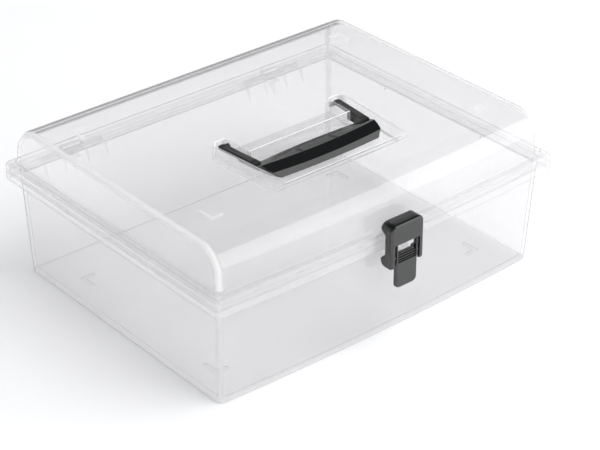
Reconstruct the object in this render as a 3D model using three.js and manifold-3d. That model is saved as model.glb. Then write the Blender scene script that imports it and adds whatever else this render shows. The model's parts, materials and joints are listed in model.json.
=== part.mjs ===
// A clear plastic carry box with a domed hinged lid, a folding handle and a snap latch.
// Millimetres, +Z up, +X to the right, the latch on the -Y side. The box stands on z = 0.

import * as THREE from 'three';
import { mergeVertices } from 'three/addons/utils/BufferGeometryUtils.js';
import Module from 'manifold-3d';

const wasm = await Module();
wasm.setup();

// ---------- driving dimensions ----------

const WALL = 2.4;
const GAP = 0.3;
const BOW = 3.7; // how far the front bulges at its middle

// rim band: the outermost outline of the box
const RIM = { halfWidth: 146, front: 115.3, back: 119, radius: 3.2 };
const RIM_BOTTOM = 71.9;
const PARTING = 78.05;
const RIM_TOP = 85.6;
const SKIRT = 2.2; // thickness of the two turned-down rim skirts
const GUSSET_FOOT = 63.5; // the rear gussets' lower ends
const RIM_EDGE = 1; // rounding of the tub's rim
const RIM_SHOULDER = 3; // rounding of the lid's rim, on top

// tub walls, outside, at the rim and at the floor
const TUB_RIM = { halfWidth: 140.3, front: 109.5, back: 111.4, radius: 6 };
const TUB_BASE = { halfWidth: 137.6, front: 105, back: 108.8, radius: 5 };
const TUB_EDGE = 1.4; // rounding between wall and floor
const LIP_TOP = 82.6; // the tub wall stands up inside the lid's skirt

// lid
const LID = { halfWidth: 140.7, front: 110.2, back: 114 };
const LID_TOP = 115.2;
const LID_DRAFT = 1;
const FRONT_RADIUS = 19;
const BACK_RADIUS = 23;
const END_RADIUS = 4.4;

// handle recess in the lid
const RECESS_DEPTH = 10;
const RECESS_REAR = 2.8;
const RECESS_FRONT = -69.5;
const RECESS_SLOPE_RUN = 11.5; // the front wall leans, so fingers reach under the grip
const RECESS_HALF_REAR = 56.5;
const RECESS_HALF_FRONT = 51.5;
const RECESS_RADIUS = 5;
const ISLAND_HALF_REAR = 45.8;
const ISLAND_HALF_FRONT = 44.3;
const ISLAND_FRONT = -21.5;

// handle
const HANDLE_AXIS = { y: -0.6, z: 111.2 };
const STUB_RADIUS = 1.6;
const ARM_TOP = 112.8;
const ARM_THICKNESS = 2.2;
const ARM_WIDTH = 6;
const ARM_OUTER_REAR = 53.3;
const ARM_OUTER_FRONT = 50.4;
const ARM_REAR = 1.2;
const ARM_FRONT = -34;
const WEB_REAR = -16.5; // the arms grow deeper from here to the grip
const GRIP_BOTTOM = 106;
const GRIP_REAR = -31.4;
const GRIP_FRONT = -52;

// hinges
const HINGE_X = 90;
const HINGE_AXIS = { y: 119.9, z: 75 };
const KNUCKLE_RADIUS = 2.5;
const KNUCKLE_SPLIT = 8.1; // half the width of the lid's knuckle, to the middle of the gap
const HINGE_HALF = 26.5;
const PIN_RADIUS = 1.1;
const PIN_BORE = 1.2;

// latch
const LATCH_HALF = 14.25;
const LATCH_FACE = -127.6;
const LATCH_TOP = 92.3;
const LATCH_FOOT = 60.5;
const LATCH_WALL = 2.5;
const LATCH_AXIS = { y: -119.6, z: 87.7 };
const LATCH_LUG_RADIUS = 2;
const SLOT_HALF = 10.8;
const SLOT_TOP = 77.35;
const TONGUE_HALF = 9.2;
const TONGUE_TOP = 70;
const TONGUE_FOOT = 44.4;
const TONGUE_THICKNESS = 3;
const TONGUE_EAR = 1.3; // the side ears beside the latch's window
const TONGUE_EAR_TOP = 76.6;
const TONGUE_AXIS = { y: -124.7, z: 67.6 };
const TONGUE_BARREL = 2.2;
const CATCH_HALF = 7.5;

// stacking marks
const MARK_X = 118;
const MARK_Y = 76;
const MARK_LENGTH = 10;
const MARK_WIDTH = 2;
const LUG_HEIGHT = 0.8;
const GROOVE_DEPTH = 1.1;

// ---------- materials ----------

const clear = new THREE.MeshStandardMaterial({
  color: 0xe9ecee, roughness: 0.06, metalness: 0, transparent: true, opacity: 0.4,
});
const black = new THREE.MeshStandardMaterial({ color: 0x1b1e1f, roughness: 0.38, metalness: 0 });

// ---------- solids ----------

function solid(geometry) {
  const bare = geometry.clone();
  bare.deleteAttribute('normal');
  bare.deleteAttribute('uv');
  const merged = mergeVertices(bare, 1e-4);
  const vertProperties = new Float32Array(merged.getAttribute('position').array);
  const triVerts = new Uint32Array(merged.index.array);
  return new wasm.Manifold(new wasm.Mesh({ numProp: 3, vertProperties, triVerts }));
}

function node(name, body, material) {
  const mesh = body.getMesh();
  const geometry = new THREE.BufferGeometry();
  geometry.setAttribute('position', new THREE.BufferAttribute(mesh.vertProperties, 3));
  geometry.setIndex(new THREE.BufferAttribute(mesh.triVerts, 1));
  geometry.computeVertexNormals();
  const result = new THREE.Mesh(geometry, material);
  result.name = name;
  return result;
}

function box(x0, x1, y0, y1, z0, z1) {
  const geometry = new THREE.BoxGeometry(x1 - x0, y1 - y0, z1 - z0);
  return solid(geometry.translate((x0 + x1) / 2, (y0 + y1) / 2, (z0 + z1) / 2));
}

function arc(x, y, radius, from, to, steps) {
  const points = [];
  for (let i = 0; i <= steps; i += 1) {
    const angle = THREE.MathUtils.degToRad(from + ((to - from) * i) / steps);
    points.push(new THREE.Vector2(x + radius * Math.cos(angle), y + radius * Math.sin(angle)));
  }
  return points;
}

function point(x, y) {
  return new THREE.Vector2(x, y);
}

// a prism standing on z0, from points in x and y
function column(points, z0, z1, options = {}) {
  const settings = { depth: z1 - z0, bevelEnabled: false, ...options };
  return new THREE.ExtrudeGeometry(new THREE.Shape(points), settings).translate(0, 0, z0);
}

// a prism lying along x, from points in y and z
function beam(points, x0, x1, options = {}) {
  const settings = { depth: x1 - x0, bevelEnabled: false, ...options };
  const geometry = new THREE.ExtrudeGeometry(new THREE.Shape(points), settings);
  const alongX = new THREE.Matrix4().makeBasis(
    new THREE.Vector3(0, 1, 0),
    new THREE.Vector3(0, 0, 1),
    new THREE.Vector3(1, 0, 0),
  );
  return geometry.applyMatrix4(alongX).translate(x0, 0, 0);
}

function rod(axis, radius, x0, x1, segments = 20) {
  const geometry = new THREE.CylinderGeometry(radius, radius, x1 - x0, segments);
  return solid(geometry.rotateZ(Math.PI / 2).translate((x0 + x1) / 2, axis.y, axis.z));
}

function reshape(geometry, move) {
  const position = geometry.getAttribute('position');
  const vertex = new THREE.Vector3();
  for (let i = 0; i < position.count; i += 1) {
    vertex.fromBufferAttribute(position, i);
    move(vertex);
    position.setXYZ(i, vertex.x, vertex.y, vertex.z);
  }
  return geometry;
}

function bowAt(x, halfWidth) {
  return BOW * (1 - (x / halfWidth) ** 2);
}

// the box's plan: a rectangle with round corners and a front that bulges
function plan(size, inset = 0) {
  const halfWidth = size.halfWidth - inset;
  const front = size.front - inset;
  const back = size.back - inset;
  const radius = Math.max(size.radius - inset, 1);
  const cornerSteps = 5;
  const bowSteps = 16;
  const points = [
    ...arc(halfWidth - radius, back - radius, radius, 0, 90, cornerSteps),
    ...arc(-halfWidth + radius, back - radius, radius, 90, 180, cornerSteps),
    ...arc(-halfWidth + radius, -front + radius, radius, 180, 270, cornerSteps),
  ];
  const span = halfWidth - radius;
  for (let i = 1; i < bowSteps; i += 1) {
    const x = -span + (2 * span * i) / bowSteps;
    points.push(point(x, -front - bowAt(x, span)));
  }
  points.push(...arc(halfWidth - radius, -front + radius, radius, 270, 360, cornerSteps));
  return points;
}

// a ring or slab of the plan whose outer edges are rounded
function roundedSlab(size, z0, z1, edge) {
  const bevel = {
    bevelEnabled: true, bevelThickness: edge, bevelSize: edge, bevelOffset: -edge, bevelSegments: 2,
  };
  return solid(column(plan(size), z0 + edge, z1 - edge, bevel));
}

// ---------- tub ----------

// the tub's drafted body: its plan shrinks from the rim to the floor
function tubBody(inset, z0, z1, edge) {
  const bevel = edge > 0 ? {
    bevelEnabled: true, bevelThickness: edge, bevelSize: edge, bevelOffset: -edge, bevelSegments: 3,
  } : {};
  const geometry = column(plan(TUB_RIM, inset), z0 + edge, z1 - edge, bevel);
  const narrow = (TUB_BASE.halfWidth - inset) / (TUB_RIM.halfWidth - inset);
  const narrowFront = (TUB_BASE.front - inset) / (TUB_RIM.front - inset);
  const narrowBack = (TUB_BASE.back - inset) / (TUB_RIM.back - inset);
  return reshape(geometry, (vertex) => {
    const down = (RIM_BOTTOM - vertex.z) / RIM_BOTTOM;
    vertex.x *= 1 + (narrow - 1) * down;
    vertex.y *= 1 + ((vertex.y < 0 ? narrowFront : narrowBack) - 1) * down;
  });
}

function tubShell() {
  const outer = solid(tubBody(0, 0, LIP_TOP + TUB_EDGE, TUB_EDGE));
  const inner = solid(tubBody(WALL, WALL + 0.2, LIP_TOP + 10, 0.8));
  const above = box(-150, 150, -130, 130, LIP_TOP, LIP_TOP + 20);
  return outer.subtract(inner).subtract(above);
}

// the tub's flange and its turned-down skirt, with the channel under it
function tubFlange() {
  const slab = roundedSlab(RIM, RIM_BOTTOM, PARTING - GAP / 2, RIM_EDGE);
  const channel = solid(column(plan(RIM, SKIRT), RIM_BOTTOM - 1, PARTING - GAP / 2 - SKIRT));
  const mouth = solid(tubBody(WALL / 2, RIM_BOTTOM - 2, PARTING + 2, 0));
  return slab.subtract(channel).subtract(mouth);
}

// webs that stiffen the flange's channel, on the side walls and beside the hinges
function flangeWebs() {
  const thickness = 1.6;
  const reach = 1;
  const height = PARTING - 1 - RIM_BOTTOM;
  const profile = (wall, skirt) => [
    point(wall - reach, PARTING - 1),
    point(wall - reach, PARTING - 1 - height),
    point(wall + reach, PARTING - 1 - height),
    point(skirt, PARTING - 1 - height * 0.4),
    point(skirt, PARTING - 1),
  ];
  // the rear gussets hang below the rim and run out into the wall
  const gusset = [
    point(TUB_RIM.back - reach, PARTING - 1),
    point(TUB_RIM.back - reach, GUSSET_FOOT),
    point(TUB_RIM.back - 0.1, GUSSET_FOOT),
    point(RIM.back - 1, RIM_BOTTOM + 0.6),
    point(RIM.back - 1, PARTING - 1),
  ];
  const parts = [];
  for (const side of [-1, 1]) {
    for (const y of [-50, 50]) {
      const points = profile(TUB_RIM.halfWidth, RIM.halfWidth - 1);
      const web = beam(points, -thickness / 2, thickness / 2).rotateZ(-Math.PI / 2);
      parts.push(solid(side > 0 ? web.translate(0, y, 0) : web.rotateZ(Math.PI).translate(0, y, 0)));
    }
    for (const offset of [-HINGE_HALF + 1, -9.6, 9.6, HINGE_HALF - 1]) {
      const x = side * HINGE_X + offset;
      parts.push(solid(beam(gusset, x - thickness / 2, x + thickness / 2)));
    }
  }
  return parts;
}

function knuckle(x0, x1, radius = KNUCKLE_RADIUS) {
  return rod(HINGE_AXIS, radius, x0, x1, 24);
}

function tubHinge(x) {
  const inner = KNUCKLE_SPLIT + GAP / 2;
  const parts = [
    knuckle(x - HINGE_HALF, x - inner),
    knuckle(x + inner, x + HINGE_HALF),
  ];
  for (const side of [-1, 1]) {
    const from = Math.min(x + side * inner, x + side * HINGE_HALF);
    const to = Math.max(x + side * inner, x + side * HINGE_HALF);
    parts.push(box(from, to, RIM.back - 2, HINGE_AXIS.y, HINGE_AXIS.z - KNUCKLE_RADIUS, PARTING - 0.6));
  }
  return parts;
}

// the lug under each hinge that the open lid comes to rest on
function hingeStop(x) {
  const half = 3;
  const wall = TUB_RIM.back - 1.5;
  const profile = [
    point(wall, 61),
    point(RIM.back + 3.4, 69.3),
    point(RIM.back + 3.4, 70.9),
    point(RIM.back, 72),
    point(wall, 72),
  ];
  return solid(beam(profile, x - half, x + half));
}

// the lug that the latch's tongue snaps under
function catchLug() {
  const wall = -(TUB_RIM.front + BOW);
  const profile = [
    point(wall + 1.4, 70.4),
    point(wall + 1.4, 61.5),
    point(wall, 61.5),
    point(wall - 6.6, 65.2),
    point(wall - 7.4, 65.2),
    point(wall - 7.4, 70.4),
  ];
  return solid(beam(profile, -CATCH_HALF, CATCH_HALF));
}

// one L-shaped stacking mark whose corner points away from the middle
function stackingMark(sx, sy, z0, z1, grow = 0) {
  const outerX = MARK_X + grow;
  const outerY = MARK_Y + grow;
  const points = [
    point(sx * outerX, sy * outerY),
    point(sx * (MARK_X - MARK_LENGTH - grow), sy * outerY),
    point(sx * (MARK_X - MARK_LENGTH - grow), sy * (MARK_Y - MARK_WIDTH - grow)),
    point(sx * (MARK_X - MARK_WIDTH - grow), sy * (MARK_Y - MARK_WIDTH - grow)),
    point(sx * (MARK_X - MARK_WIDTH - grow), sy * (MARK_Y - MARK_LENGTH - grow)),
    point(sx * outerX, sy * (MARK_Y - MARK_LENGTH - grow)),
  ];
  return solid(column(points, z0, z1));
}

function stackingMarks(z0, z1, grow) {
  const parts = [];
  for (const sx of [-1, 1]) {
    for (const sy of [-1, 1]) {
      parts.push(stackingMark(sx, sy, z0, z1, grow));
    }
  }
  return parts;
}

function makeTub() {
  let tub = tubShell().add(tubFlange());
  for (const web of flangeWebs()) tub = tub.add(web);
  for (const x of [-HINGE_X, HINGE_X]) {
    const clearance = KNUCKLE_SPLIT + GAP / 2;
    const notchFront = HINGE_AXIS.y - KNUCKLE_RADIUS - 0.5;
    tub = tub.subtract(box(x - clearance, x + clearance, notchFront, 130, RIM_BOTTOM - 1, 90));
    for (const piece of tubHinge(x)) tub = tub.add(piece);
    tub = tub.add(hingeStop(x));
    tub = tub.subtract(knuckle(x - HINGE_HALF + 1.2, x + HINGE_HALF + 1, PIN_BORE));
  }
  tub = tub.add(catchLug());
  for (const groove of stackingMarks(-1, GROOVE_DEPTH, GAP)) tub = tub.subtract(groove);
  return node('tub', tub, clear);
}

// ---------- lid ----------

// the lid's side profile: a large front radius and a back radius over a flat top
function lidProfile(inset) {
  const front = -(LID.front - inset);
  const back = LID.back - inset;
  const top = LID_TOP - inset;
  const frontRadius = FRONT_RADIUS - inset;
  const backRadius = BACK_RADIUS - inset;
  const foot = RIM_TOP - 12;
  return [
    point(back, foot),
    ...arc(back - LID_DRAFT - backRadius, top - backRadius, backRadius, 0, 90, 8),
    ...arc(front + LID_DRAFT + frontRadius, top - frontRadius, frontRadius, 90, 180, 8),
    point(front, foot),
  ];
}

function lidBody(inset) {
  const edge = END_RADIUS - inset;
  const halfWidth = LID.halfWidth - inset;
  const bevel = {
    bevelEnabled: true, bevelThickness: edge, bevelSize: edge, bevelOffset: -edge, bevelSegments: 4,
    steps: 14,
  };
  const geometry = beam(lidProfile(inset), -halfWidth + edge, halfWidth - edge, bevel);
  const bulge = (x) => bowAt(x, halfWidth) / LID.front;
  return solid(reshape(geometry, (vertex) => {
    const up = Math.max(vertex.z - RIM_TOP, 0) / (LID_TOP - RIM_TOP);
    vertex.x *= 1 - (LID_DRAFT / LID.halfWidth) * up;
    if (vertex.y < 0) vertex.y *= 1 + bulge(vertex.x);
  }));
}

// the U-shaped outline of the recess, around the island between the handle's arms
function recessOutline(grow) {
  const lean = (RECESS_HALF_REAR - RECESS_HALF_FRONT) / (RECESS_REAR - RECESS_FRONT);
  const rear = RECESS_REAR + grow;
  const front = RECESS_FRONT - grow;
  const radius = RECESS_RADIUS + grow;
  const halfRear = RECESS_HALF_REAR + grow;
  const halfFront = RECESS_HALF_FRONT + grow;
  const right = [
    point(ISLAND_HALF_FRONT - grow, ISLAND_FRONT + grow),
    point(ISLAND_HALF_REAR - grow, rear),
    ...arc(halfRear - lean - radius, rear - radius, radius, 90, 0, 5),
    point(halfFront, front),
  ];
  const left = right.map((p) => point(-p.x, p.y)).reverse();
  return [...right, ...left];
}

// everything in front of the recess's leaning front wall
function recessSlope(drop) {
  const slope = RECESS_DEPTH / RECESS_SLOPE_RUN;
  const foot = RECESS_FRONT + RECESS_SLOPE_RUN;
  const floor = LID_TOP - RECESS_DEPTH;
  const reach = 30;
  const profile = [
    point(foot + reach, floor - drop - slope * reach),
    point(foot - reach, floor - drop + slope * reach),
    point(foot - reach, floor - drop - slope * reach),
  ];
  return solid(beam(profile, -80, 80));
}

function recessTray() {
  const floor = LID_TOP - RECESS_DEPTH - WALL;
  const leaningDrop = WALL / Math.cos(Math.atan2(RECESS_DEPTH, RECESS_SLOPE_RUN));
  const outside = solid(column(recessOutline(WALL), floor, LID_TOP - WALL / 2));
  return outside.subtract(recessSlope(leaningDrop));
}

function recessCavity() {
  const inside = solid(column(recessOutline(0), LID_TOP - RECESS_DEPTH, LID_TOP + 5));
  return inside.subtract(recessSlope(0));
}

function lidFlange() {
  const slab = roundedSlab(RIM, PARTING - 2 * RIM_SHOULDER, RIM_TOP, RIM_SHOULDER);
  const below = box(-150, 150, -130, 130, PARTING - 10, PARTING + GAP / 2);
  const channel = solid(column(plan(RIM, SKIRT), PARTING - 1, RIM_TOP - WALL));
  return slab.subtract(below).subtract(channel);
}

function lidKnuckle(x) {
  const half = KNUCKLE_SPLIT - GAP / 2;
  const shank = box(x - half, x + half, HINGE_AXIS.y - 2.3, HINGE_AXIS.y + KNUCKLE_RADIUS, HINGE_AXIS.z, 79.6);
  const pad = [
    point(RIM.back - 2, PARTING + GAP / 2),
    point(HINGE_AXIS.y + KNUCKLE_RADIUS, PARTING + GAP / 2),
    point(HINGE_AXIS.y + KNUCKLE_RADIUS, 82.4),
    point(RIM.back - 0.4, 84.6),
    point(RIM.back - 2, 84.6),
  ];
  return knuckle(x - half, x + half).add(shank).add(solid(beam(pad, x - half, x + half)));
}

// the lugs on the lid's ledge that carry the latch's frame
function latchLug(side) {
  const outer = side * (LATCH_HALF - LATCH_WALL - 0.6);
  const inner = side * (LATCH_HALF - LATCH_WALL - 5);
  const x0 = Math.min(outer, inner);
  const x1 = Math.max(outer, inner);
  const barrel = rod(LATCH_AXIS, LATCH_LUG_RADIUS, x0, x1);
  const rimFront = -(RIM.front + BOW);
  const cheek = LATCH_LUG_RADIUS - 0.3;
  const foot = [
    point(LATCH_AXIS.y - cheek, LATCH_AXIS.z),
    point(LATCH_AXIS.y - cheek, LATCH_AXIS.z - 4),
    point(rimFront + 0.2, LATCH_AXIS.z - 7),
    point(rimFront + SKIRT - 0.5, LATCH_AXIS.z - 7),
    point(rimFront + SKIRT - 0.5, RIM_TOP - 0.5),
    point(LATCH_AXIS.y + cheek, RIM_TOP - 0.3),
    point(LATCH_AXIS.y + cheek, LATCH_AXIS.z),
  ];
  return barrel.add(solid(beam(foot, x0, x1)));
}

function makeLid() {
  const belowRim = box(-150, 150, -130, 130, 40, RIM_TOP - WALL);
  const outer = lidBody(0).subtract(belowRim);
  let lid = outer.add(lidFlange()).subtract(lidBody(WALL));
  lid = lid.add(recessTray());
  lid = lid.subtract(recessCavity());
  for (const side of [-1, 1]) {
    lid = lid.add(lidKnuckle(side * HINGE_X)).add(latchLug(side));
    lid = lid.subtract(knuckle(side * HINGE_X - 10, side * HINGE_X + 10, PIN_BORE));
  }
  const pinHoles = rod(HANDLE_AXIS, STUB_RADIUS + GAP, -ISLAND_HALF_REAR - 1, ISLAND_HALF_REAR + 1);
  const betweenHoles = box(-ISLAND_HALF_REAR + 4, ISLAND_HALF_REAR - 4, -5, 5, 105, 116);
  lid = lid.subtract(pinHoles.subtract(betweenHoles));
  lid = lid.subtract(rod(LATCH_AXIS, PIN_BORE, -20, 20));
  for (const lug of stackingMarks(LID_TOP - 0.5, LID_TOP + LUG_HEIGHT, 0)) lid = lid.add(lug);
  return node('lid', lid, clear);
}

// ---------- handle ----------

function handleArm(side) {
  const strap = [
    point(ARM_OUTER_REAR - 0.8, ARM_REAR),
    point(ARM_OUTER_REAR, ARM_REAR - 0.8),
    point(ARM_OUTER_FRONT, ARM_FRONT),
    point(ARM_OUTER_FRONT - ARM_WIDTH, ARM_FRONT),
    point(ARM_OUTER_REAR - ARM_WIDTH, ARM_REAR - 0.8),
    point(ARM_OUTER_REAR - ARM_WIDTH + 0.8, ARM_REAR),
  ];
  const lean = (ARM_OUTER_REAR - ARM_OUTER_FRONT) / (ARM_REAR - ARM_FRONT);
  const outerAt = (y) => ARM_OUTER_REAR - lean * (ARM_REAR - y);
  const mirrored = strap.map((p) => point(side * p.x, p.y));
  const arm = solid(column(mirrored, ARM_TOP - ARM_THICKNESS, ARM_TOP));
  const stub0 = side * (ISLAND_HALF_REAR - 1.6);
  const stub1 = side * (ARM_OUTER_REAR - ARM_WIDTH / 2);
  const stub = rod(HANDLE_AXIS, STUB_RADIUS, Math.min(stub0, stub1), Math.max(stub0, stub1));
  const section = [
    point(side * outerAt(WEB_REAR), ARM_TOP - ARM_THICKNESS / 2),
    point(side * (outerAt(WEB_REAR) - ARM_WIDTH + 2.2), GRIP_BOTTOM + 0.3),
    point(side * (outerAt(WEB_REAR) - ARM_WIDTH), GRIP_BOTTOM + 0.3),
    point(side * (outerAt(WEB_REAR) - ARM_WIDTH), ARM_TOP - ARM_THICKNESS / 2),
  ];
  const web = new THREE.ExtrudeGeometry(new THREE.Shape(section), {
    depth: WEB_REAR - ARM_FRONT, bevelEnabled: false,
  });
  web.rotateX(Math.PI / 2).translate(0, WEB_REAR, 0);
  reshape(web, (vertex) => {
    vertex.x -= side * lean * (WEB_REAR - vertex.y);
  });
  return arm.add(stub).add(solid(web));
}

// the grip: a crowned bar with three facets on top, wider in its middle
function handleGrip() {
  const ridge = GRIP_REAR - 8.2;
  const section = [
    point(GRIP_REAR, GRIP_BOTTOM + 0.8),
    point(GRIP_REAR, 110.6),
    point(ridge, 113.8),
    point(GRIP_FRONT + 3.8, 111.3),
    point(GRIP_FRONT, 108.4),
    point(GRIP_FRONT + 1.5, GRIP_BOTTOM + 1),
    point(GRIP_FRONT + 7, GRIP_BOTTOM),
    point(GRIP_REAR - 1.5, GRIP_BOTTOM),
  ];
  const half = 52;
  const geometry = beam(section, -half, half, { steps: 16 });
  reshape(geometry, (vertex) => {
    const bulge = 1 - (vertex.x / half) ** 2;
    const rearShare = THREE.MathUtils.clamp((vertex.y - ridge) / (GRIP_REAR - ridge), 0, 1);
    vertex.y += THREE.MathUtils.lerp(-2, 2.4, rearShare) * bulge;
    if (vertex.z > 111) vertex.z -= (1 - rearShare) * bulge;
  });
  const planHalf = [
    point(ARM_OUTER_FRONT, GRIP_REAR + 8),
    point(ARM_OUTER_FRONT, GRIP_REAR - 4),
    point(ARM_OUTER_FRONT - 0.5, GRIP_REAR - 8),
    point(ARM_OUTER_FRONT - 1.3, GRIP_REAR - 12),
    point(ARM_OUTER_FRONT - 2.6, GRIP_REAR - 16),
    point(ARM_OUTER_FRONT - 4.6, GRIP_FRONT),
    point(ARM_OUTER_FRONT - 6, GRIP_FRONT - 8),
  ];
  const outline = [...planHalf, ...planHalf.map((p) => point(-p.x, p.y)).reverse()];
  const limits = column(outline, GRIP_BOTTOM - 2, ARM_TOP + 4, { steps: 12 });
  reshape(limits, (vertex) => {
    const under = Math.max(ARM_TOP - 1.2 - vertex.z, 0) / (ARM_TOP - GRIP_BOTTOM);
    vertex.x -= Math.sign(vertex.x) * 6 * under;
  });
  return solid(geometry).intersect(solid(limits));
}

function makeHandle() {
  const handle = handleGrip().add(handleArm(-1)).add(handleArm(1));
  return node('handle', handle, black);
}

// ---------- latch ----------

function latchFrame() {
  const radius = 4.5;
  const arch = (half, top, corner, foot) => [
    ...arc(half - corner, top - corner, corner, 0, 90, 5),
    ...arc(-half + corner, top - corner, corner, 90, 180, 5),
    point(-half, foot),
    point(half, foot),
  ];
  const rear = -117.6;
  const along = (points, y0, y1) => {
    const geometry = new THREE.ExtrudeGeometry(new THREE.Shape(points), {
      depth: y1 - y0, bevelEnabled: false,
    });
    return solid(geometry.rotateX(Math.PI / 2).translate(0, y1, 0));
  };
  const outside = along(arch(LATCH_HALF, LATCH_TOP, radius, LATCH_FOOT), LATCH_FACE, rear);
  const hollow = along(
    arch(LATCH_HALF - LATCH_WALL, LATCH_TOP - 2, 1.2, LATCH_FOOT - 1),
    LATCH_FACE + LATCH_WALL,
    rear + 5,
  );
  const slot = box(-SLOT_HALF, SLOT_HALF, LATCH_FACE - 1, rear + 5, LATCH_FOOT - 5, SLOT_TOP);
  const clearRim = beam([
    point(-121.5, 84.9),
    point(-119.8, 85.9),
    point(-118.6, 86.4),
    point(-117.9, 87.5),
    point(-117.5, 88),
    point(-110, 88),
    point(-110, 66.4),
    point(-117.6, 66.4),
    point(-121.5, 70.2),
  ], -20, 20);
  const heel = beam([
    point(-110, 64.5),
    point(-117.6, 64.5),
    point(-118.6, 62.2),
    point(-121, 60.9),
    point(-124, LATCH_FOOT - 0.1),
    point(-110, LATCH_FOOT - 0.1),
  ], -20, 20);
  return outside.subtract(hollow).subtract(slot).subtract(solid(clearRim)).subtract(solid(heel));
}

function makeLatchFrame() {
  let frame = latchFrame();
  frame = frame.subtract(rod(LATCH_AXIS, PIN_BORE, -LATCH_HALF + 0.9, LATCH_HALF - 0.9));
  frame = frame.subtract(rod(TONGUE_AXIS, PIN_BORE, -LATCH_HALF + 0.9, LATCH_HALF - 0.9));
  return node('latch_frame', frame, black);
}

function makeLatchTongue() {
  const radius = 3.6;
  const face = [
    point(TONGUE_HALF, TONGUE_TOP - 5),
    point(-TONGUE_HALF, TONGUE_TOP - 5),
    ...arc(-TONGUE_HALF + radius, TONGUE_FOOT + radius, radius, 180, 270, 5),
    ...arc(TONGUE_HALF - radius, TONGUE_FOOT + radius, radius, 270, 360, 5),
  ];
  const front = LATCH_FACE + 0.2;
  const plate = new THREE.ExtrudeGeometry(new THREE.Shape(face), {
    depth: TONGUE_THICKNESS, bevelEnabled: false,
  });
  plate.rotateX(Math.PI / 2).translate(0, front + TONGUE_THICKNESS, 0);
  const head = beam([
    point(front + 1.1, TONGUE_TOP),
    point(front + 1.1, TONGUE_TOP - 7),
    point(front + TONGUE_THICKNESS, TONGUE_TOP - 7),
    point(TONGUE_AXIS.y + TONGUE_BARREL, TONGUE_AXIS.z),
    point(TONGUE_AXIS.y + 1, TONGUE_TOP),
  ], -TONGUE_HALF + 1.2, TONGUE_HALF - 1.2);
  const nose = beam([
    point(front + TONGUE_THICKNESS - 0.5, 64),
    point(front + TONGUE_THICKNESS - 0.5, 56.5),
    point(-121.2, 60.8),
    point(-120.6, 62.6),
    point(-121.6, 63.4),
  ], -CATCH_HALF + 1, CATCH_HALF - 1);
  let tongue = solid(plate).add(solid(head)).add(solid(nose));
  for (const side of [-1, 1]) {
    const outer = side * TONGUE_HALF;
    const inner = side * (TONGUE_HALF - TONGUE_EAR);
    const ear = box(
      Math.min(outer, inner),
      Math.max(outer, inner),
      front,
      front + TONGUE_THICKNESS,
      TONGUE_TOP - 6,
      TONGUE_EAR_TOP,
    );
    tongue = tongue.add(ear);
  }
  tongue = tongue.add(rod(TONGUE_AXIS, TONGUE_BARREL, -SLOT_HALF + GAP, SLOT_HALF - GAP));
  tongue = tongue.subtract(rod(TONGUE_AXIS, PIN_BORE, -LATCH_HALF, LATCH_HALF));
  return node('latch_tongue', tongue, black);
}

function makeLatchPin(name, axis) {
  return node(name, rod(axis, PIN_RADIUS, -LATCH_HALF + 1.2, LATCH_HALF - 1.2), black);
}

function makeHingePin(name, x) {
  return node(name, knuckle(x - HINGE_HALF + 1.6, x + HINGE_HALF - 0.5, PIN_RADIUS), clear);
}

// ---------- assembly ----------

const carryBox = new THREE.Group();
carryBox.add(
  makeTub(),
  makeLid(),
  makeHandle(),
  makeHingePin('hinge_pin_left', -HINGE_X),
  makeHingePin('hinge_pin_right', HINGE_X),
  makeLatchFrame(),
  makeLatchTongue(),
  makeLatchPin('latch_pin', LATCH_AXIS),
  makeLatchPin('tongue_pin', TONGUE_AXIS),
);

export default carryBox;
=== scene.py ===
import bpy, bmesh, json, math
from mathutils import Vector, Matrix

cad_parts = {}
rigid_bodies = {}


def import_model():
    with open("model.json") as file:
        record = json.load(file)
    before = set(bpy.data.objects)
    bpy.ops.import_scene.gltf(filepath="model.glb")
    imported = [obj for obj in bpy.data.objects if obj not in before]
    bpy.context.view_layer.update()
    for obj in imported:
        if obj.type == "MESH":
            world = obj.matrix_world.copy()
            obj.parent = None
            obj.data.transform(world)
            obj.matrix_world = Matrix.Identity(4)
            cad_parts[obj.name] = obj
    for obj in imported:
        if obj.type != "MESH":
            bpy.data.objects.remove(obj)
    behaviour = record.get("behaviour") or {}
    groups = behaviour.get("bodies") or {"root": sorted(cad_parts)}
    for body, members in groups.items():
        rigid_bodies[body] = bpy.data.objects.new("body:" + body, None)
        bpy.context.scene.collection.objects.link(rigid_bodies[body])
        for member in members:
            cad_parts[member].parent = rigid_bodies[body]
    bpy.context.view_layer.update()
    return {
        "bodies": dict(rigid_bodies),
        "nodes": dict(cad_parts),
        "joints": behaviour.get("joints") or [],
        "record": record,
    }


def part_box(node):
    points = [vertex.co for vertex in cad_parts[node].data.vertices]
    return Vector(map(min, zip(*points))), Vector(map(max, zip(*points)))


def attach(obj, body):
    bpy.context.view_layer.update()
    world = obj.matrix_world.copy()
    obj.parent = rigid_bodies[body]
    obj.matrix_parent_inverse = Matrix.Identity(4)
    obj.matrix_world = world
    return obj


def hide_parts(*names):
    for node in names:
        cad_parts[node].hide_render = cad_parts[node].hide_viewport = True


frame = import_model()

MM = 0.001

# ---------------------------------------------------------------- places, from the CAD nodes
def span(node):
    low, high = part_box(node)
    return low / MM, high / MM

TUB_HIGH = span("tub")[1]
LID_HIGH = span("lid")[1]
JOINT = {j["name"]: Vector(j["pos_m"]) / MM for j in frame["joints"]}
HINGE = JOINT["lid_hinge"]
HANDLE_AXIS = JOINT["handle_pivot"]
LATCH_AXIS = JOINT["latch_pivot"]
TONGUE_AXIS = JOINT["tongue_pivot"]
RIM_HALF = LID_HIGH.x
LIP_TOP = TUB_HIGH.z
LUG_TOP = LID_HIGH.z

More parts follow.
